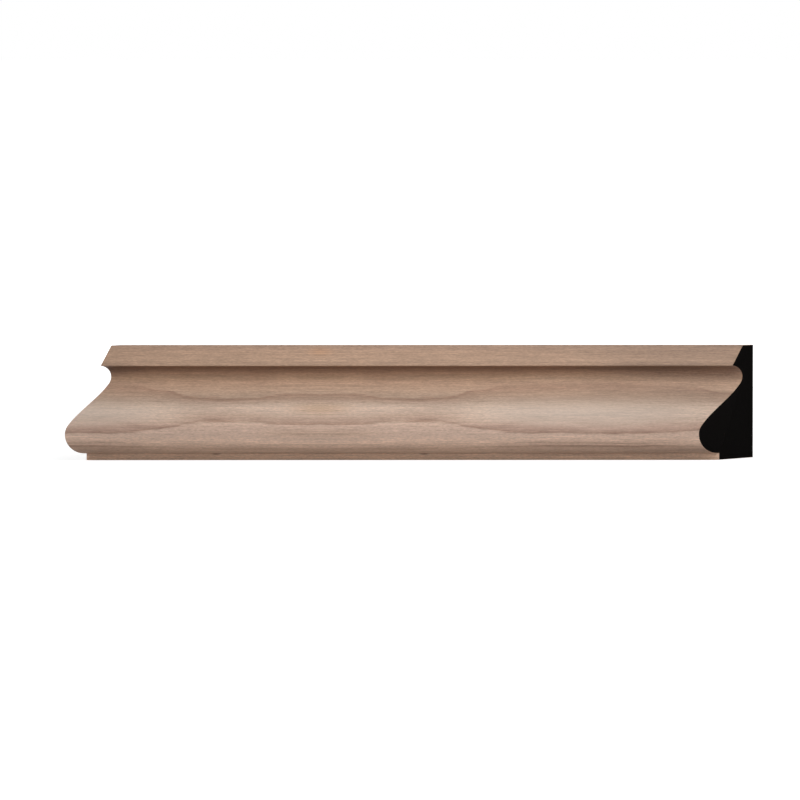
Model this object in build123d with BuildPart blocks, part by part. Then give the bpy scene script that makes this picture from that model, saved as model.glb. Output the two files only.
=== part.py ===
from build123d import *
import math
import os

# Base cap moulding: one length of milled wood trim that runs along a wall on top of a baseboard.
# X runs along the moulding. The wall is the plane y = 0, with the room on its -Y side, and z = 0
# is the underside. The origin is the middle of the back face's bottom edge.
# The section is drawn with the distance out from the wall to the right and the height up.

os.makedirs("parts", exist_ok=True)

# Overall sizes, in millimetres
LENGTH = 195.0  # along the back face, from one mitre to the other
HEIGHT = 34.925  # 1 3/8 in, up the wall
DEPTH = 17.4625  # 11/16 in, from the wall to the front of the nose

# Top edge and the canted lip under it
TOP_THICKNESS = 3.45
LIP_HEIGHT = 6.1
LIP_CANT = 28.0  # degrees that the lip leans out from upright

# Cove, which undercuts the lip and leaves the thinnest wood behind it
COVE_RADIUS = 3.55
NECK_THICKNESS = 3.55

# Nose, rounder below than above, over the base fillet set back under it
NOSE_TOP_RADIUS = 4.4
NOSE_UNDER_RADIUS = 6.3
STEP_HEIGHT = 2.1
STEP_FLAT = 0.2  # level underside between the base fillet and the nose's curve

# Slope between cove and nose, an S curve that leaves both arcs at this lean from upright
OGEE_LEAN = 37.0

# Long outer edges, eased by sanding
ARRIS_RADIUS = 0.2

# Ends, cut parallel: the angle in plan between each cut and the length
MITRE_ANGLE = 45.0

# Places that follow from the sizes
nose_height = STEP_HEIGHT + NOSE_UNDER_RADIUS
nose_under_centre = (DEPTH - NOSE_UNDER_RADIUS, nose_height)
nose_top_centre = (DEPTH - NOSE_TOP_RADIUS, nose_height)
base_front = nose_under_centre[0] - STEP_FLAT
mitre = math.radians(MITRE_ANGLE)
blank_half_length = LENGTH / 2 + DEPTH / math.tan(mitre)
section_plane = Plane(origin=(0, 0, 0), x_dir=(0, -1, 0), z_dir=(-1, 0, 0))

with BuildPart() as moulding:
    # Section, from the wall round by the lip, cove, slope and nose to the base
    with BuildSketch(section_plane) as section:
        with BuildLine():
            back = Line((0, 0), (0, HEIGHT))
            top = Line(back @ 1, (TOP_THICKNESS, HEIGHT))
            lip = PolarLine(
                top @ 1, LIP_HEIGHT, LIP_CANT - 90, length_mode=LengthMode.VERTICAL
            )

            # The cove's circle passes through the lip's tip and stops short of the wall
            lip_tip = lip @ 1
            cove_out = NECK_THICKNESS + COVE_RADIUS
            tip_offset = lip_tip.X - cove_out
            tip_rise = math.sqrt(COVE_RADIUS**2 - tip_offset**2)
            tip_angle = math.degrees(math.atan2(tip_rise, tip_offset))
            cove = CenterArc(
                (cove_out, lip_tip.Y - tip_rise),
                COVE_RADIUS,
                tip_angle,
                180 + OGEE_LEAN - tip_angle,
            )

            # The nose's two arcs meet at its front, and the lower one ends level
            nose_top = CenterArc(nose_top_centre, NOSE_TOP_RADIUS, OGEE_LEAN, -OGEE_LEAN)
            nose_under = CenterArc(nose_under_centre, NOSE_UNDER_RADIUS, 0, -90)
            Spline(cove @ 1, nose_top @ 0, tangents=[cove % 1, nose_top % 0])

            step = Line(nose_under @ 1, (base_front, STEP_HEIGHT))
            riser = Line(step @ 1, (base_front, 0))
            Line(riser @ 1, back @ 0)
        make_face()
        eased_corners = [top @ 1, lip_tip, riser @ 1]
        fillet(
            [vertices().sort_by_distance(corner)[0] for corner in eased_corners],
            ARRIS_RADIUS,
        )
    extrude(amount=blank_half_length, both=True)

    # Parallel mitres through the two ends of the back face
    for side in (1, -1):
        outward = (side * math.sin(mitre), -side * math.cos(mitre), 0)
        split(
            bisect_by=Plane(origin=(side * LENGTH / 2, 0, 0), z_dir=outward),
            keep=Keep.BOTTOM,
        )

moulding.part.label = "base_cap_moulding"
export_step(moulding.part, "parts/base_cap_moulding.step")

size = moulding.part.bounding_box().size
print(f"section {section.sketch.area:.1f} mm2, least wood at the neck {NECK_THICKNESS} mm")
print(f"overall {size.X:.2f} x {size.Y:.2f} x {size.Z:.2f} mm, {moulding.part.volume:.0f} mm3")
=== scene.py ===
# %% [markdown]
# # A length of base cap moulding in light walnut
#
# A base cap is the small moulding that finishes the top of a baseboard. This one is a single
# length of walnut, milled to one section along its whole run and cut at 45 degrees at both ends.
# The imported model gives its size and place. This script gives it its finish: sanded walnut with a
# flat-sawn figure, and the matt black sealer on the two cut ends.
#
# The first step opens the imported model. Everything after it is in metres in the same frame: X runs
# along the moulding, the wall is the plane y = 0 and the floor is z = 0.

import math

import bmesh
import bpy
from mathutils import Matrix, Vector


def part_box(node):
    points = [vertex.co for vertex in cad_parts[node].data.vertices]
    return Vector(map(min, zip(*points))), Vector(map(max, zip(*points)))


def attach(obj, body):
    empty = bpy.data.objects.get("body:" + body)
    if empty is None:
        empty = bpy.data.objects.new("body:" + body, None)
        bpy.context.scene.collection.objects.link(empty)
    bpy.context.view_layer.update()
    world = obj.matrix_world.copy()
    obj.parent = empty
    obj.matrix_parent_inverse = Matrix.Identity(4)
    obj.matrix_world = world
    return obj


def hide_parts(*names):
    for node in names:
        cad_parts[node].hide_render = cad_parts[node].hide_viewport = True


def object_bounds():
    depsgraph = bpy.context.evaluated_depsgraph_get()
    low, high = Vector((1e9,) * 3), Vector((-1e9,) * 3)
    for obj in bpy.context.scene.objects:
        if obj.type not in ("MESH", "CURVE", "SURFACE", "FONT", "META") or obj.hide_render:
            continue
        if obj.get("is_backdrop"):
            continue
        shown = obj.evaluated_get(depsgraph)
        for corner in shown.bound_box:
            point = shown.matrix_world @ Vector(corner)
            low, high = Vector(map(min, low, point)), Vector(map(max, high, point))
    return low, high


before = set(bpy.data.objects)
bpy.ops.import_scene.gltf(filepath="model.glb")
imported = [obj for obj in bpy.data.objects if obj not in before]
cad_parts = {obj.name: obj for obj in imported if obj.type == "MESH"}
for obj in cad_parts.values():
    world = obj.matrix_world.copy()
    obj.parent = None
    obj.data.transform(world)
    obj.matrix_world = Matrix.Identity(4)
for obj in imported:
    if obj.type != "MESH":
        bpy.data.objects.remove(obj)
cad_low, cad_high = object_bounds()
MM = 0.001
NODE = "base_cap_moulding"
low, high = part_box(NODE)
print("overall size in mm", [round(size / MM, 2) for size in high - low])

# %% [markdown]
# ## The section
#
# A moulding is drawn by its section, the shape that the cutter leaves. From the top it has a flat
# edge, a lip that leans out, a cove that undercuts the lip, an S-shaped slope, a round nose, and a
# base set back under the nose. Real cutters are ground to arcs, so the outline is made of arcs
# here too, with one curve between cove and nose that keeps the direction of both.
#
# The section is a list of (out, up) points in millimetres: out from the wall and up from the floor.
# The overall sizes are read from the frame, and the rest are the moulding's own sizes. The long
# corners are eased a little, because a real one is never left knife sharp.

# %% Sizes of the section
DEPTH = (high.y - low.y) / MM
HEIGHT = (high.z - low.z) / MM
LENGTH = (high.x - low.x) / MM - DEPTH
TOP_THICKNESS = 3.45
LIP_HEIGHT = 6.1
LIP_CANT = 28.0  # degrees out from upright
COVE_RADIUS = 3.55
NECK_THICKNESS = 3.55
NOSE_TOP_RADIUS = 4.4
NOSE_UNDER_RADIUS = 6.3
STEP_HEIGHT = 2.1
STEP_FLAT = 0.2
OGEE_LEAN = 37.0  # degrees from upright at which the slope leaves both arcs
ARRIS = 0.16  # how far a corner is eased
COVE_STEPS, SLOPE_STEPS, NOSE_TOP_STEPS, NOSE_UNDER_STEPS = 30, 24, 10, 24
print(f"section {DEPTH:.2f} deep, {HEIGHT:.2f} high, {LENGTH:.1f} along the back")


# %% Arcs and the S curve
def arc(centre, radius, start, sweep, steps):
    """Points on a circle; angles in degrees from straight out, turning up."""
    angles = [math.radians(start + sweep * i / steps) for i in range(steps + 1)]
    return [
        (centre[0] + radius * math.cos(a), centre[1] + radius * math.sin(a)) for a in angles
    ]


def mixed(weights, places):
    """The sum of some places, or directions, each times its weight."""
    return tuple(sum(w * v[k] for w, v in zip(weights, places)) for k in (0, 1))


def s_curve(start, start_way, end, end_way, steps):
    """Points of a cubic that leaves start and reaches end in the given directions."""
    chord = math.dist(start, end)
    points = []
    for i in range(1, steps):
        t = i / steps
        weights = (
            2 * t**3 - 3 * t**2 + 1,
            chord * (t**3 - 2 * t**2 + t),
            3 * t**2 - 2 * t**3,
            chord * (t**3 - t**2),
        )
        points.append(mixed(weights, (start, start_way, end, end_way)))
    return points


# %% Eased corners
def rounded(before, corner, after, steps=4):
    """A corner rounded between two points near it."""
    points = []
    for i in range(steps + 1):
        t = i / steps
        weights = ((1 - t) ** 2, 2 * t * (1 - t), t**2)
        points.append(mixed(weights, (before, corner, after)))
    return points


def towards(start, end, distance):
    """The point at this distance from start on the way to end."""
    share = distance / math.dist(start, end)
    return tuple(a + (b - a) * share for a, b in zip(start, end))


def eased(before, corner, after):
    """A corner between two straight sides, with its arris taken off."""
    return rounded(towards(corner, before, ARRIS), corner, towards(corner, after, ARRIS))


# %% Draw the section
def section():
    """The outline, from the wall's foot up the back, over the top and down the front."""
    top_corner = (TOP_THICKNESS, HEIGHT)
    lip_tip = (
        TOP_THICKNESS + LIP_HEIGHT * math.tan(math.radians(LIP_CANT)),
        HEIGHT - LIP_HEIGHT,
    )
    cove_out = NECK_THICKNESS + COVE_RADIUS
    tip_out = lip_tip[0] - cove_out
    tip_up = math.sqrt(COVE_RADIUS**2 - tip_out**2)
    cove_centre = (cove_out, lip_tip[1] - tip_up)
    cove_start = math.degrees(math.atan2(tip_up, tip_out) + ARRIS / COVE_RADIUS)
    cove_sweep = 180 + OGEE_LEAN - cove_start
    cove = arc(cove_centre, COVE_RADIUS, cove_start, cove_sweep, COVE_STEPS)

    nose_up = STEP_HEIGHT + NOSE_UNDER_RADIUS
    top_centre = (DEPTH - NOSE_TOP_RADIUS, nose_up)
    nose_top = arc(top_centre, NOSE_TOP_RADIUS, OGEE_LEAN, -OGEE_LEAN, NOSE_TOP_STEPS)
    under_centre = (DEPTH - NOSE_UNDER_RADIUS, nose_up)
    nose_under = arc(under_centre, NOSE_UNDER_RADIUS, 0, -90, NOSE_UNDER_STEPS)

    lean = math.radians(OGEE_LEAN)
    down_and_out = (math.sin(lean), -math.cos(lean))
    slope = s_curve(cove[-1], down_and_out, nose_top[0], down_and_out, SLOPE_STEPS)

    base_out = under_centre[0] - STEP_FLAT
    base_top, base_corner = (base_out, STEP_HEIGHT), (base_out, 0)
    outline = [(0, 0), (0, HEIGHT)]
    outline += eased((0, HEIGHT), top_corner, lip_tip)
    outline += rounded(towards(lip_tip, top_corner, ARRIS), lip_tip, cove[0])
    outline += cove[1:] + slope + nose_top + nose_under[1:]
    outline += [base_top]
    outline += eased(base_top, base_corner, (0, 0))
    return outline


outline = section()
print(len(outline), "points in the section; furthest out", round(max(p[0] for p in outline), 3))

# %% [markdown]
# ## The moulding
#
# A moulding could be made by extruding the section and cutting the ends with a boolean. Here each
# cross ring of points is placed straight on its slanting plane instead, so that the mesh is clean:
# a point that is further out from the wall also moves along, by as much as the mitre asks. The
# first and last rings are drawn in a little, which gives the sawn edge the small sanded bevel
# that every real one has.

# %% Cross rings
BEVEL = 0.06
LEAST_SPREAD = 0.4  # keeps the drawn-in point of a sharp corner from running away


def drawn_in(points, amount):
    """The closed outline moved inwards by amount at each point."""
    moved = []
    for i, here in enumerate(points):
        before, after = Vector(points[i - 1]), Vector(points[(i + 1) % len(points)])
        here = Vector(here)
        sides = [(here - before).normalized(), (after - here).normalized()]
        normals = [Vector((side.y, -side.x)) for side in sides]
        middle = (normals[0] + normals[1]).normalized()
        spread = max(middle.dot(normals[0]), LEAST_SPREAD)
        moved.append(tuple(here + middle * amount / spread))
    return moved


def ring(mesh, points, along):
    """One cross ring: along is the place on the back edge, and the mitre shifts the rest."""
    return [mesh.verts.new(((along - out) * MM, -out * MM, up * MM)) for out, up in points]


# %% Loft the moulding between its two mitres
SPANS = 60
SEALER_SLOT = 1
SHARP_ANGLE = 30.0  # degrees between two faces, from which their edge stays sharp


def moulding_mesh(points):
    """The closed mesh; the two cut ends use the sealer's material slot, all else slot 0."""
    mesh = bmesh.new()
    inner = drawn_in(points, BEVEL)
    start, end = -LENGTH / 2, LENGTH / 2
    stations = [start + BEVEL + (LENGTH - 2 * BEVEL) * i / SPANS for i in range(SPANS + 1)]
    rings = [ring(mesh, inner, start)]
    rings += [ring(mesh, points, along) for along in stations]
    rings += [ring(mesh, inner, end)]
    count = len(points)
    for one, other in zip(rings, rings[1:]):
        for i in range(count):
            j = (i + 1) % count
            mesh.faces.new((one[i], one[j], other[j], other[i]))
    for cap in (mesh.faces.new(rings[0][::-1]), mesh.faces.new(rings[-1])):
        cap.material_index = SEALER_SLOT
    bmesh.ops.recalc_face_normals(mesh, faces=mesh.faces)
    for face in mesh.faces:
        face.smooth = True
    for edge in mesh.edges:
        edge.smooth = edge.calc_face_angle(0) < math.radians(SHARP_ANGLE)
    return mesh


data = bpy.data.meshes.new("base_cap")
built = moulding_mesh(outline)
built.to_mesh(data)
print("faces", len(data.polygons), "volume in mm3", round(built.calc_volume() / MM**3))
built.free()
moulding = bpy.data.objects.new("base_cap", data)
bpy.context.scene.collection.objects.link(moulding)
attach(moulding, "root")
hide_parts(NODE)

# %% [markdown]
# ## Colours and nodes
#
# Colours are written as the hex values that a colour picker shows. Blender works in linear light,
# so one function turns them. Another adds a shader node with its settings and links, and every
# material here is made with it. The settings that many nodes share have a name of their own.


# %% Helpers for materials
def linear(hex_colour):
    """An sRGB hex colour as linear RGBA."""
    parts = [int(hex_colour[i : i + 2], 16) / 255 for i in (1, 3, 5)]
    return [p / 12.92 if p <= 0.04045 else ((p + 0.055) / 1.055) ** 2.4 for p in parts] + [1.0]


def add(tree, kind, settings=None, inputs=None):
    """Adds one node. Inputs go by name or by order, and each is a value, a node or a socket."""
    node = tree.nodes.new("ShaderNode" + kind)
    for name, value in (settings or {}).items():
        setattr(node, name, value)
    sockets = [socket for socket in node.inputs if socket.enabled]
    pairs = inputs.items() if isinstance(inputs, dict) else enumerate(inputs or [])
    for name, value in pairs:
        by_name = (socket for socket in sockets if socket.name == name)
        socket = sockets[name] if isinstance(name, int) else next(by_name)
        if isinstance(value, bpy.types.Node):
            value = next(output for output in value.outputs if output.enabled)
        if isinstance(value, bpy.types.NodeSocket):
            tree.links.new(value, socket)
        else:
            socket.default_value = value
    return node


def new_material(name):
    """An empty material and its node tree."""
    material = bpy.data.materials.new(name)
    material.use_nodes = True
    material.node_tree.nodes.clear()
    return material, material.node_tree


MULTIPLY = {"operation": "MULTIPLY"}
SUBTRACT = {"operation": "SUBTRACT"}
DIVIDE = {"operation": "DIVIDE"}
MULTIPLY_ADD = {"operation": "MULTIPLY_ADD"}
ABSOLUTE = {"operation": "ABSOLUTE"}
LONG = {"operation": "LENGTH"}  # how long a vector is
SMOOTH = {"interpolation_type": "SMOOTHSTEP"}  # a Map Range that starts and ends gently
COLOURS = {"data_type": "RGBA"}  # a Mix of two colours
print("white is", linear("#FFFFFF"), "and middle grey", [round(c, 3) for c in linear("#808080")])

# %% [markdown]
# ## Where the grain runs
#
# Walnut gets its figure from growth rings: each year starts pale and ends in a thin dark line. The
# rings are tubes round the pith, the centre of the tree, and the milled surface cuts through them.
# Where the pith wanders nearer to the face the lines draw apart, and where it wanders away they
# close up. That gives the long lens shapes of flat-sawn wood.
#
# The colour could be painted on the front as a picture. Here the wood is made as a solid instead:
# the colour at a point follows from its distance to the pith, so the front, the back and the
# underside agree with each other. The figure opens both ways from one place along the length, so
# distances along the grain are counted from there, in millimetres.

# %% Places in the wood
FIGURE_CENTRE = -36.4
PITH_OUT, PITH_UP = 18.45, 22.79


def wood_places(tree):
    """Millimetres from the figure's centre with the part's Y and Z; and mirrored, for the grain."""
    place = add(tree, "TexCoord").outputs["Object"]
    scaled = add(tree, "VectorMath", {"operation": "SCALE"}, [place, 1 / MM])
    moved = add(tree, "VectorMath", SUBTRACT, [scaled, (FIGURE_CENTRE, 0, 0)])
    split = add(tree, "SeparateXYZ", None, [moved])
    along = add(tree, "Math", ABSOLUTE, [split.outputs["X"]])
    grain = add(tree, "CombineXYZ", None, [along, split.outputs["Y"], split.outputs["Z"]])
    return moved, grain


def streaks(tree, grain, length, thickness, detail=2.0):
    """Noise drawn out along the wood, with streaks about this long and thick in millimetres."""
    scale = (1 / length, 1 / thickness, 1 / thickness)
    scaled = add(tree, "VectorMath", MULTIPLY, [grain, scale])
    return add(tree, "TexNoise", None, {"Vector": scaled, "Scale": 1.0, "Detail": detail})


print("figure centre", FIGURE_CENTRE, "mm; pith", PITH_OUT, "mm out and", PITH_UP, "mm up")

# %% The pith's wandering
# Millimetres along the grain, and how far the first ring stands off from its usual radius there
WANDER = (
    (0, -1.05),
    (6.5, -0.85),
    (16.5, -1.15),
    (20, -1.42),
    (27, -1.55),
    (37, -1.47),
    (41, -1.2),
    (44, -0.5),
    (47.5, 0.0),
    (60, 0.9),
    (78, 1.27),
    (102, 1.09),
    (117, 0.38),
    (124, -0.4),
    (140, -1.0),
)
MOST_WANDER = 2.0
CLOSED_WANDER, OPEN_WANDER = -1.5, 1.27  # where the lines lie closest, and where they lie widest


def shape_curve(node, places):
    """Shapes a Float Curve that takes 0 to 1 as the whole reach, and gives 0 to 1."""
    reach = places[-1][0]
    points = node.mapping.curves[0].points
    while len(points) < len(places):
        points.new(0.5, 0.5)
    for point, (place, offset) in zip(points, places):
        point.location = (place / reach, 0.5 + offset / (2 * MOST_WANDER))
    node.mapping.update()


def wandering(tree, grain):
    """How far the first ring stands off from its usual radius at this place."""
    along = add(tree, "SeparateXYZ", None, [grain]).outputs["X"]
    share = add(tree, "Math", DIVIDE, [along, WANDER[-1][0]])
    curve = add(tree, "FloatCurve", None, {"Value": share})
    shape_curve(curve, WANDER)
    return add(tree, "MapRange", None, [curve, 0.0, 1.0, -MOST_WANDER, MOST_WANDER])


print(len(WANDER), "places along", WANDER[-1][0], "mm of grain")

# %% From the place to a ring's radius
# Sizes are in millimetres, and heights and radii are given from and to
WAVES = 14, 6, 4.0  # length and thickness of the wood's own waves, and their detail
SWAY = 1.0  # how wide those waves are, from one side to the other
FOLLOW_RADII = 14.0, 18.0  # a ring below these follows the wandering, and one above leans back
COUNTER_LEAN = -0.31  # by this share
SPREAD_HEIGHTS = 8.5, 11.5  # below these the rings wander more
SPREAD_BELOW = 1.51  # by this factor
LIP_HEIGHTS = 24.0, 28.0  # between these the wandering dies down
LIP_SHARE = 0.15  # and this share of it is left above them
MOST_NOISE = 0.25, 0.75  # nearly all of a noise lies between these two values
FIBRES = 7.0, 0.4  # length and thickness of a bundle of fibres
FEATHER = 0.25  # how far fibres carry a ring's colour across its edge
FEATHER_HEIGHTS = 5.5, 8.5  # below these they hardly do
LOW_FEATHER = 0.1  # and this share is left


def pith_distance(tree, grain):
    """Distance from the pith, swayed a little by the wood's own waves."""
    wave = streaks(tree, grain, *WAVES)
    centred = add(tree, "VectorMath", SUBTRACT, [wave.outputs["Color"], (0.5, 0.5, 0.5)])
    swayed = add(tree, "VectorMath", MULTIPLY_ADD, [centred, (0, SWAY, SWAY), grain])
    to_pith = (0, PITH_OUT, -PITH_UP)
    across = add(tree, "VectorMath", MULTIPLY_ADD, [swayed, (0, 1, 1), to_pith])
    return add(tree, "VectorMath", LONG, [across])


def ring_radius(tree, grain, height, wander):
    """Distance from the pith, less the wandering, with feathered edges to the rings."""
    distance = pith_distance(tree, grain)
    follow = add(tree, "MapRange", None, [distance, *FOLLOW_RADII, 1.0, COUNTER_LEAN])
    below = add(tree, "MapRange", None, [height, *SPREAD_HEIGHTS, SPREAD_BELOW, 1.0])
    calming = add(tree, "MapRange", None, [height, *LIP_HEIGHTS, 1.0, LIP_SHARE])
    shift = wander
    for share in (follow, below, calming):
        shift = add(tree, "Math", MULTIPLY, [shift, share])
    shifted = add(tree, "Math", SUBTRACT, [distance, shift])

    fibres = streaks(tree, grain, *FIBRES)
    feather = add(tree, "MapRange", None, [fibres, *MOST_NOISE, -FEATHER, FEATHER])
    share = add(tree, "MapRange", None, [height, *FEATHER_HEIGHTS, LOW_FEATHER, 1.0])
    feather = add(tree, "Math", MULTIPLY, [feather, share])
    return add(tree, "Math", {"operation": "ADD"}, [shifted, feather])


# %% [markdown]
# ## The growth rings
#
# One colour ramp holds a whole row of rings. Each ring darkens slowly, ends in its dark line, and
# turns pale at once, because the next spring's wood is open and light. A second ramp has the same
# rings with soft lines, for the places where the surface cuts them at a flat angle.

# %% Rings from the pith outwards
# Radius of each ring's dark line in millimetres, and how strong the line is
RINGS = (
    (12.35, 0.66),
    (18.8, 0.62),
    (22.4, 0.25),
    (26.0, 0.5),
    (29.0, 0.4),
)
FIRST_RADIUS, LAST_RADIUS = 7.0, 31.0
LATEWOOD = 3.0  # how far before its line a ring begins to darken
# Share of that way still to go, and the darkness there as a share of the line's
DARKENING = (
    (1.0, 0.0),
    (0.5, 0.3),
    (0.0, 0.55),
)
CRISP, SOFT = 0.36, 1.3  # half widths of a line


def set_stops(node, stops):
    """Gives a colour ramp its stops, each a place from 0 to 1 and a colour."""
    elements = node.color_ramp.elements
    while len(elements) < len(stops):
        elements.new(0.5)
    for element, (place, colour) in zip(elements, stops):
        element.position = place
        element.color = colour


def ring_ramp(tree, radius, half_width):
    """A ramp from 0, pale wood, to 1, the darkest line, by radius."""
    stops = [(FIRST_RADIUS, 0.0)]
    for line, strength in RINGS:
        edge = line - half_width
        stops += [(edge - LATEWOOD * left, dark * strength) for left, dark in DARKENING]
        stops += [(line, strength), (line + half_width, 0.0)]
    reach = LAST_RADIUS - FIRST_RADIUS
    greys = [((at - FIRST_RADIUS) / reach, (dark, dark, dark, 1)) for at, dark in sorted(stops)]
    span = add(tree, "MapRange", None, [radius, FIRST_RADIUS, LAST_RADIUS, 0.0, 1.0])
    ramp = add(tree, "ValToRGB", None, [span])
    set_stops(ramp, greys)
    print(f"{len(RINGS)} rings, lines {2 * half_width} mm wide, {len(stops)} stops")
    return ramp


# %% [markdown]
# ## Where the lines are soft or faint
#
# On a real board no ring is even. A line is crisp where the cutter crosses it steeply, and broad
# and faint where the surface runs almost along it, as in the open middle of the figure. So each
# point mixes the crisp ramp with the soft one, and the strength changes with the place. A slow
# noise makes the lines patchy, because the dark wood is never equally dense all along a ring.

# %% Softness and strength of the lines
# Each change gives where it begins and ends, and the value before and after
OPENING = 0.2, 1.18, 0.0, 1.0  # by wandering, from closed lines to open ones
LOW_LINE_HEIGHT = 9.0
OFF_LOW_LINE = 1.5, 4.0, 0.35, 1.0  # the line on the nose stays crisper, also in open wood
OPEN_STRENGTH = 12.0, 19.0, 1.2, 0.6  # by height, where the lines lie open
NOSE_STRENGTH = 7.5, 10.5, 0.3, 1.15  # by height, where they lie close
UPPER_STRENGTH = 13.0, 18.0, 1.0, 0.76  # a little less for the upper one of the two
LIP_STRENGTH = 29.0, 33.0, 1.0, 0.15  # and hardly any on the lip
PATCH = 18, 3  # length and thickness of a patch of weaker or stronger line
PATCHES = 0.3, 0.7, 0.6, 1.3  # by the noise that makes them


def line_softness(tree, height, open_wood):
    """0 for crisp lines and 1 for soft ones."""
    from_line = add(tree, "Math", SUBTRACT, [height, LOW_LINE_HEIGHT])
    off_line = add(tree, "Math", ABSOLUTE, [from_line])
    clear = add(tree, "MapRange", SMOOTH, [off_line, *OFF_LOW_LINE])
    return add(tree, "Math", MULTIPLY, [open_wood, clear])


def line_strength(tree, grain, height, open_wood):
    """How strong a ring's line is at this place."""
    noise = streaks(tree, grain, *PATCH)
    patches = add(tree, "MapRange", None, [noise, *PATCHES])
    opened = add(tree, "MapRange", SMOOTH, [height, *OPEN_STRENGTH])
    nose = add(tree, "MapRange", SMOOTH, [height, *NOSE_STRENGTH])
    upper = add(tree, "MapRange", SMOOTH, [height, *UPPER_STRENGTH])
    closed = add(tree, "Math", MULTIPLY, [nose, upper])
    by_height = add(tree, "Mix", None, [open_wood, closed, opened])
    off_lip = add(tree, "MapRange", SMOOTH, [height, *LIP_STRENGTH])
    strength = add(tree, "Math", MULTIPLY, [patches, by_height])
    return add(tree, "Math", MULTIPLY, [strength, off_lip])


# %% [markdown]
# ## Sanded walnut: tones, painted light and shade, and heart
#
# The piece is milled, lightly sanded and unfinished, so it looks dry: broad soft highlights, no
# gloss, and a colour that is greyer and paler than oiled walnut. The heart of the figure is a pale
# greyish pink, the wood above it is a warm tan, and the wood below lies between the two. The tones
# also hold painted light and shade: the cove is painted darker as the shade under the lip, the
# wood just under the nose darker as its shade, and the nose's underside and the base paler as light.
#
# A noise could pick the tones, but then they would fall anywhere. A ramp by height keeps each tone
# on its own part of the section, and the heart is laid over it inside the first ring.

# %% Ground tone with painted light and shade, and pale heart
# Tone of the wood by height in millimetres, from the base to the top edge, with painted light and
# shade in it
GROUND_AND_PAINTED_SHADING = (
    (0.0, "#CCA98F"),  # the base, painted paler as light under the nose
    (1.0, "#DAB79D"),
    (2.0, "#CFAE97"),
    (2.3, "#B1917A"),  # painted shade under the nose
    (3.7, "#BA9A84"),
    (5.0, "#DABAA3"),
    (6.0, "#E2C2AC"),  # the nose, painted paler below as light
    (7.9, "#CEB19E"),
    (10.6, "#BFA290"),
    (12.4, "#CAAF9B"),  # the slope
    (19.5, "#B19681"),
    (23.4, "#B49279"),
    (24.6, "#A58368"),
    (25.8, "#A07E64"),  # the cove, painted darker as the shade under the lip
    (26.4, "#AA8469"),
    (29.0, "#B09078"),  # the lip
    (33.0, "#AD8D75"),
    (35.0, "#A28470"),
)
# The heart in closed wood and in open wood: its height, its reach up and down, and its colour
HEART_HEIGHT, OPEN_HEART_HEIGHT = 16.0, 14.5
HEART_REACH, OPEN_HEART_REACH = 2.8, 5.6
HEART_WOOD, OPEN_HEART_WOOD = "#DAC2AF", "#D1BDAD"
HEART_EDGE = 11.8, 12.5  # the heart ends between these radii, just inside the first ring's line


def blend(tree, value, start, end, first, second):
    """Goes smoothly from the first colour to the second as the value goes from start to end."""
    share = add(tree, "MapRange", SMOOTH, [value, start, end, 0.0, 1.0])
    return add(tree, "Mix", COLOURS, [share, first, second])


def ground_and_painted_shading(tree, height):
    """The tone of the wood by height, with painted light and shade in it."""
    top = GROUND_AND_PAINTED_SHADING[-1][0]
    share = add(tree, "Math", DIVIDE, [height, top])
    ground_and_shading = add(tree, "ValToRGB", None, [share])
    set_stops(ground_and_shading, [(at / top, linear(tone)) for at, tone in GROUND_AND_PAINTED_SHADING])
    return ground_and_shading


def heart_distance(tree, height, wander):
    """0 in the middle of the heart and 1 at its reach, above or below."""
    opening = [wander, CLOSED_WANDER, OPEN_WANDER]
    middle = add(tree, "MapRange", None, [*opening, HEART_HEIGHT, OPEN_HEART_HEIGHT])
    from_middle = add(tree, "Math", SUBTRACT, [height, middle])
    off_middle = add(tree, "Math", ABSOLUTE, [from_middle])
    reach = add(tree, "MapRange", None, [*opening, HEART_REACH, OPEN_HEART_REACH])
    return add(tree, "Math", DIVIDE, [off_middle, reach])


def with_heart(tree, ground_and_shading, radius, wander, from_heart):
    """The ground tone, with its painted light and shade, and the pale heart inside the first ring.
    """
    closed, opened = linear(HEART_WOOD), linear(OPEN_HEART_WOOD)
    heart = blend(tree, wander, 0.0, OPEN_WANDER, closed, opened)
    inner = blend(tree, from_heart, 0.0, 1.0, heart, ground_and_shading)
    return blend(tree, radius, *HEART_EDGE, inner, ground_and_shading)


print(len(GROUND_AND_PAINTED_SHADING), "tones up to", GROUND_AND_PAINTED_SHADING[-1][0], "mm")

# %% [markdown]
# ## Stains and painted shade
#
# Walnut is seldom of one colour. Minerals in the wood leave patches that fade out, and small burls
# show as dark flecks. Other patches here are painted shade: over the cove under the lip, in the
# cove's ends, under the nose and on the wood towards the ends. A patch drawn on one face would lie
# on that face only. Each patch here is a long egg in the solid wood, strongest in its middle and
# gone at its reach, so it goes round the edges as a real one does. Most follow the mirrored grain,
# and a few belong to one side only.

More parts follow.
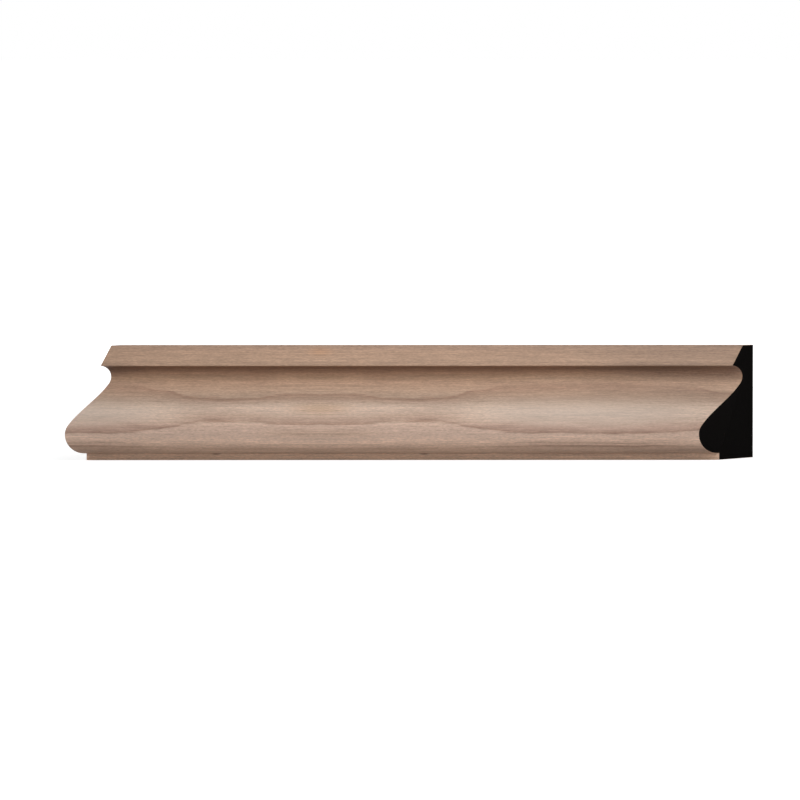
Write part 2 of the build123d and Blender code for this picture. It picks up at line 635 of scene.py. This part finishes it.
# %% Patches of other colour, and of painted shade
# Centre along the grain and in the part's Y and Z, reach each way, strength and colour
STAINS_AND_PAINTED_SHADE = (
    ((0, -5.0, 27.7), (1000, 2.4, 3.2), 0.8, "#5E402E"),  # painted shade over the whole cove, under the lip
    # Painted shade: the wood darker towards the ends, where the light falls off
    ((120, -8.0, 25.0), (58, 40.0, 26.0), 0.38, "#8A7464"),
    # Painted shade: the cove darker under the lip towards the ends
    ((125, -4.5, 27.0), (42, 6.0, 4.0), 0.5, "#6B4733"),
    ((18, -5.0, 25.0), (9, 5.0, 3.2), 0.25, "#75503A"),
    # Painted shade: the lip darker towards the ends
    ((110, -4.0, 33.5), (58, 8.0, 6.0), 0.4, "#7E6654"),
    ((6, -17.0, 8.6), (22, 4.0, 2.4), 0.42, "#8E7058"),  # the brown patch on the nose
    ((0, -11.4, 15.7), (14, 5.0, 3.4), 0.45, "#B58F6C"),
    ((0, -4.2, 33.0), (6, 3.0, 2.4), 0.45, "#B88A66"),
    ((32, -11.0, 1.9), (2.2, 1.2, 0.5), 0.8, "#6A5346"),  # a fleck on the base
)
# The same with the centre on one side of the figure, minus to its left
SIDE_STAINS_AND_PAINTED_SHADE = (
    ((-72, -5.5, 27.2), (24, 5.0, 3.5), 0.9, "#402C20"),  # painted shade in the cove's left end
    ((72, -4.0, 24.0), (24, 4.0, 3.2), 0.27, "#D8B498"),  # a pale stretch of the neck
    ((100, -5.5, 28.0), (25, 5.0, 3.4), 0.45, "#402C20"),  # painted shade in the cove on the right
    ((-78, -14.5, 3.2), (44, 3.5, 2.6), 0.26, "#6B5040"),  # painted shade under the nose, left and right
    ((128, -14.5, 3.2), (48, 3.5, 2.6), 0.45, "#6B5040"),
)


def stain_and_painted_shade(tree, place, wood, centre, reach, strength, colour):
    """Mixes a colour into the wood, strongest at the centre and gone at the reach."""
    offset = add(tree, "VectorMath", SUBTRACT, [place, centre])
    scaled = add(tree, "VectorMath", DIVIDE, [offset, reach])
    distance = add(tree, "VectorMath", LONG, [scaled])
    share = add(tree, "MapRange", SMOOTH, [distance, 0.0, 1.0, strength, 0.0])
    return add(tree, "Mix", COLOURS, [share, wood, linear(colour)])


print(len(STAINS_AND_PAINTED_SHADE), "mirrored stains and", len(SIDE_STAINS_AND_PAINTED_SHADE), "on one side")

# %% [markdown]
# ## Streaks and pores
#
# Under the rings runs a finer pattern: broad shades from one bundle of fibres to the next, thin
# streaks, and the short dark pores that walnut is full of. They are noises drawn out along the
# grain, each with a real length and thickness. A pore is a tenth of a millimetre wide, which is too
# fine to show here, so the finest streaks are drawn at a quarter of a millimetre.
#
# The open pores also leave the sanded face a little rough and uneven, which breaks up its sheen.

# %% Shade and surface
# Length and thickness in millimetres, and how far the tone strays
STREAKS = (
    (60, 5, 0.09),
    (26, 0.9, 0.09),
    (12, 0.38, 0.12),
    (4.0, 0.26, 0.15),
    (1.1, 0.26, 0.19),
)
CALM = 0.62  # share of the streaks left in the open heart
HEART_FADE = 0.6, 1.2, 1.0, 0.0  # by distance from the heart's middle, where its calm ends
PORES = 4.5, 0.42  # length and thickness of a row of pores
ROUGHNESS = 0.3, 0.7, 0.66, 0.54  # by the pores' noise: rough in the open ones, smoother between
PORE_DEPTH, PORE_STRENGTH = 0.04, 0.3  # in millimetres, and the share of it that the light shows
WOOD_IOR = 1.5


def streaked(tree, grain, wood, from_heart, open_wood):
    """The wood with its shades, streaks and pores, calmer in the open heart."""
    in_heart = add(tree, "MapRange", SMOOTH, [from_heart, *HEART_FADE])
    open_heart = add(tree, "Math", MULTIPLY, [in_heart, open_wood])
    calm = add(tree, "MapRange", None, [open_heart, 0.0, 1.0, 1.0, CALM])
    for length, thickness, depth in STREAKS:
        pattern = streaks(tree, grain, length, thickness)
        stray = add(tree, "MapRange", None, [pattern, *MOST_NOISE, -depth, depth])
        shade = add(tree, "Math", MULTIPLY_ADD, [stray, calm, 1.0])
        wood = add(tree, "VectorMath", {"operation": "SCALE"}, [wood, shade])
    return wood


def sanded_surface(tree, grain, wood):
    """A dry, sanded surface of this colour."""
    pores = streaks(tree, grain, *PORES)
    rough = add(tree, "MapRange", None, [pores, *ROUGHNESS])
    depth = {"Strength": PORE_STRENGTH, "Distance": PORE_DEPTH * MM, "Height": pores}
    bump = add(tree, "Bump", None, depth)
    look = {"Base Color": wood, "Roughness": rough, "IOR": WOOD_IOR, "Normal": bump}
    return add(tree, "BsdfPrincipled", None, look)


# %% [markdown]
# ## The walnut as a whole
#
# The material now comes together in the order in which the eye reads it: the ground tone with its
# painted light and shade and the heart, the ring lines over them, the stains and the painted shade,
# and last the streaks and pores that run through everything.

# %% Build the walnut
LINE_WOOD = "#84604F"  # the reddish brown of a ring's dark line


def walnut():
    """Sanded, unfinished walnut, as a solid that is cut by the surface."""
    material, tree = new_material("sanded_walnut")
    place, grain = wood_places(tree)
    height = add(tree, "SeparateXYZ", None, [grain]).outputs["Z"]
    wander = wandering(tree, grain)
    radius = ring_radius(tree, grain, height, wander)
    from_heart = heart_distance(tree, height, wander)
    wood = with_heart(tree, ground_and_painted_shading(tree, height), radius, wander, from_heart)

    open_wood = add(tree, "MapRange", SMOOTH, [wander, *OPENING])
    softness = line_softness(tree, height, open_wood)
    crisp, soft = (ring_ramp(tree, radius, width) for width in (CRISP, SOFT))
    lines = add(tree, "Mix", COLOURS, [softness, crisp, soft])
    strength = line_strength(tree, grain, height, open_wood)
    darkness = add(tree, "Math", MULTIPLY, [lines, strength])
    wood = add(tree, "Mix", COLOURS, [darkness, wood, linear(LINE_WOOD)])

    for patch in STAINS_AND_PAINTED_SHADE:
        wood = stain_and_painted_shade(tree, grain, wood, *patch)
    for patch in SIDE_STAINS_AND_PAINTED_SHADE:
        wood = stain_and_painted_shade(tree, place, wood, *patch)
    wood = streaked(tree, grain, wood, from_heart, open_wood)
    add(tree, "OutputMaterial", None, {"Surface": sanded_surface(tree, grain, wood)})
    print(len(tree.nodes), "nodes in", material.name)
    return material


data.materials.append(walnut())

# %% [markdown]
# ## Black end sealer
#
# The cut ends are coated with a dead matt black sealer, brushed on, so that the section stands out
# and the end grain doesn't dry too fast. Such a coat soaks into the open grain and throws back
# almost no light, so it has a very dark colour and no gloss. Where it has sunk into the pores it is
# a trace darker, which a fine noise of about half a millimetre gives.

# %% Make the sealer
SEALER_DARK, SEALER_PALE = "#110F0F", "#151413"
SEALER_GRAIN = 0.625  # size of its noise in millimetres


def end_sealer():
    """Dead matt black end-grain sealer."""
    material, tree = new_material("black_end_sealer")
    place = add(tree, "TexCoord").outputs["Object"]
    scale = 1 / (SEALER_GRAIN * MM)
    pores = add(tree, "TexNoise", None, {"Vector": place, "Scale": scale, "Detail": 2.0})
    coat = add(tree, "Mix", COLOURS, [pores, linear(SEALER_DARK), linear(SEALER_PALE)])
    look = {"Base Color": coat, "Roughness": 1.0, "Specular IOR Level": 0.0}
    add(tree, "OutputMaterial", None, {"Surface": add(tree, "BsdfPrincipled", None, look)})
    return material


data.materials.append(end_sealer())
print("materials", [material.name for material in data.materials])

# %% [markdown]
# ## Floor and backdrop
#
# The moulding stands on pure white. The floor is matt and pale, and it is lit by the same soft light
# as the wood. It could be lit until it clips to white, but that would bleach the wood too. Instead
# it has a little light of its own, which only rays that show a background can see: straight from
# the camera, in a mirror or through glass. It lights nothing, and the soft shadow beside the
# moulding stays. The world behind is white to the same rays, and nearly dark to all others.

# %% Floor
FLOOR_SIZE = 8.0
FLOOR_COLOUR = "#CECECE"
LIFT = 0.15, 0.5, 0.7, 1.0  # between these distances in metres, from and to this strength

floor_data = bpy.data.meshes.new("floor")
floor_mesh = bmesh.new()
bmesh.ops.create_grid(floor_mesh, x_segments=1, y_segments=1, size=FLOOR_SIZE / 2)
floor_mesh.to_mesh(floor_data)
floor_mesh.free()
floor = bpy.data.objects.new("floor", floor_data)
bpy.context.scene.collection.objects.link(floor)
floor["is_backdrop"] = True


def seen_as_background(tree):
    """1 for the rays that show a background: straight, mirrored or through glass; 0 for light."""
    rays = add(tree, "LightPath").outputs
    seen = rays["Is Camera Ray"]
    for name in ("Is Glossy Ray", "Is Transmission Ray"):
        seen = add(tree, "Math", {"operation": "MAXIMUM"}, [seen, rays[name]])
    return seen


def white_floor():
    """Matt pale floor, lifted to full white where it shows as a background."""
    material, tree = new_material("white_floor")
    matt = add(tree, "BsdfDiffuse", None, {"Color": linear(FLOOR_COLOUR)})
    place = add(tree, "TexCoord").outputs["Object"]
    distance = add(tree, "VectorMath", LONG, [place])
    lift = add(tree, "MapRange", None, [distance, *LIFT])
    shown = add(tree, "Math", MULTIPLY, [lift, seen_as_background(tree)])
    glow = add(tree, "Emission", None, {"Color": linear("#FFFFFF"), "Strength": shown})
    both = add(tree, "AddShader", None, [matt, glow])
    add(tree, "OutputMaterial", None, {"Surface": both})
    return material


floor_data.materials.append(white_floor())
print("floor", FLOOR_SIZE, "m wide")

# %% World
FILL_LIGHT = 0.02
world = bpy.data.worlds.new("studio")
bpy.context.scene.world = world
world.use_nodes = True
sky = world.node_tree
sky.nodes.clear()
white = seen_as_background(sky)
strength = add(sky, "MapRange", None, [white, 0.0, 1.0, FILL_LIGHT, 1.0])
backdrop = add(sky, "Background", None, {"Color": linear("#FFFFFF"), "Strength": strength})
add(sky, "OutputWorld", None, {"Surface": backdrop})
print("fill light", FILL_LIGHT)

# %% [markdown]
# ## Soft light
#
# Large square lamps stand round the moulding, as softboxes do in a studio, at a level at which a
# colour renders about as it is written. The low one in front shows the section's rounds, and the
# small high one lays a shadow under the lip. The two at the sides fill the ends. The two behind
# light the back, which would be nearly dark without them when the moulding is turned round.


# %% Softboxes
def direction(azimuth, elevation):
    """The way out from the moulding in degrees; azimuth 0 is in front, 90 to its right."""
    a, e = math.radians(azimuth), math.radians(elevation)
    return Vector((math.sin(a) * math.cos(e), -math.cos(a) * math.cos(e), math.sin(e)))


def softbox(name, size, distance, azimuth, elevation, watts):
    """A square soft light that faces the moulding; size and distance are in metres."""
    light = bpy.data.lights.new(name, "AREA")
    light.shape = "SQUARE"
    light.size = size
    light.energy = watts
    lamp = bpy.data.objects.new(name, light)
    way = direction(azimuth, elevation)
    lamp.location = (low + high) / 2 + way * distance
    lamp.rotation_euler = way.to_track_quat("Z", "Y").to_euler()
    bpy.context.scene.collection.objects.link(lamp)


softbox("front_low_softbox", 0.9, 1.8, 0, 6, 7.0)
softbox("front_high_softbox", 0.24, 0.28, 19, 50, 0.38)
softbox("left_softbox", 0.9, 1.8, -65, 35, 8.0)
softbox("right_softbox", 0.9, 1.8, 65, 35, 8.0)
softbox("back_left_softbox", 0.9, 1.8, -150, 15, 13.0)
softbox("back_right_softbox", 0.9, 1.8, 150, 15, 13.0)
print(len(bpy.data.lights), "softboxes")

# %% [markdown]
# ## Camera
#
# The moulding is seen almost straight from the front and a little from above, from far away
# through a long lens, so its edges run nearly parallel. The right end's cut face then shows its
# whole section, because the mitre turns it to the front.

# %% Camera
CAMERA_DISTANCE = 2.919
CAMERA_ELEVATION = 3.82
CAMERA_AZIMUTH = -0.325
SENSOR_WIDTH, FOCAL_LENGTH = 36, 424.7
AIM = Vector((-11.74 * MM, 0, 17.8 * MM))
camera_data = bpy.data.cameras.new("camera")
camera_data.sensor_width = SENSOR_WIDTH
camera_data.lens = FOCAL_LENGTH
camera = bpy.data.objects.new("camera", camera_data)
back = direction(CAMERA_AZIMUTH, CAMERA_ELEVATION)
camera.location = AIM + back * CAMERA_DISTANCE
camera.rotation_euler = back.to_track_quat("Z", "Y").to_euler()
bpy.context.scene.collection.objects.link(camera)
bpy.context.scene.camera = camera
print("camera at", [round(place, 3) for place in camera.location])

# %% [markdown]
# ## Finish
#
# The Standard view shows colours as they are written. The last line prints how far the dressed
# model lies inside the box of the imported one.

# %% Print the sizes
bpy.context.scene.view_settings.view_transform = "Standard"
seen_low, seen_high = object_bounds()
inside = [*(seen_low - cad_low), *(cad_high - seen_high)]
print("visual box inside the CAD box by mm", [round(gap / MM, 3) for gap in inside])
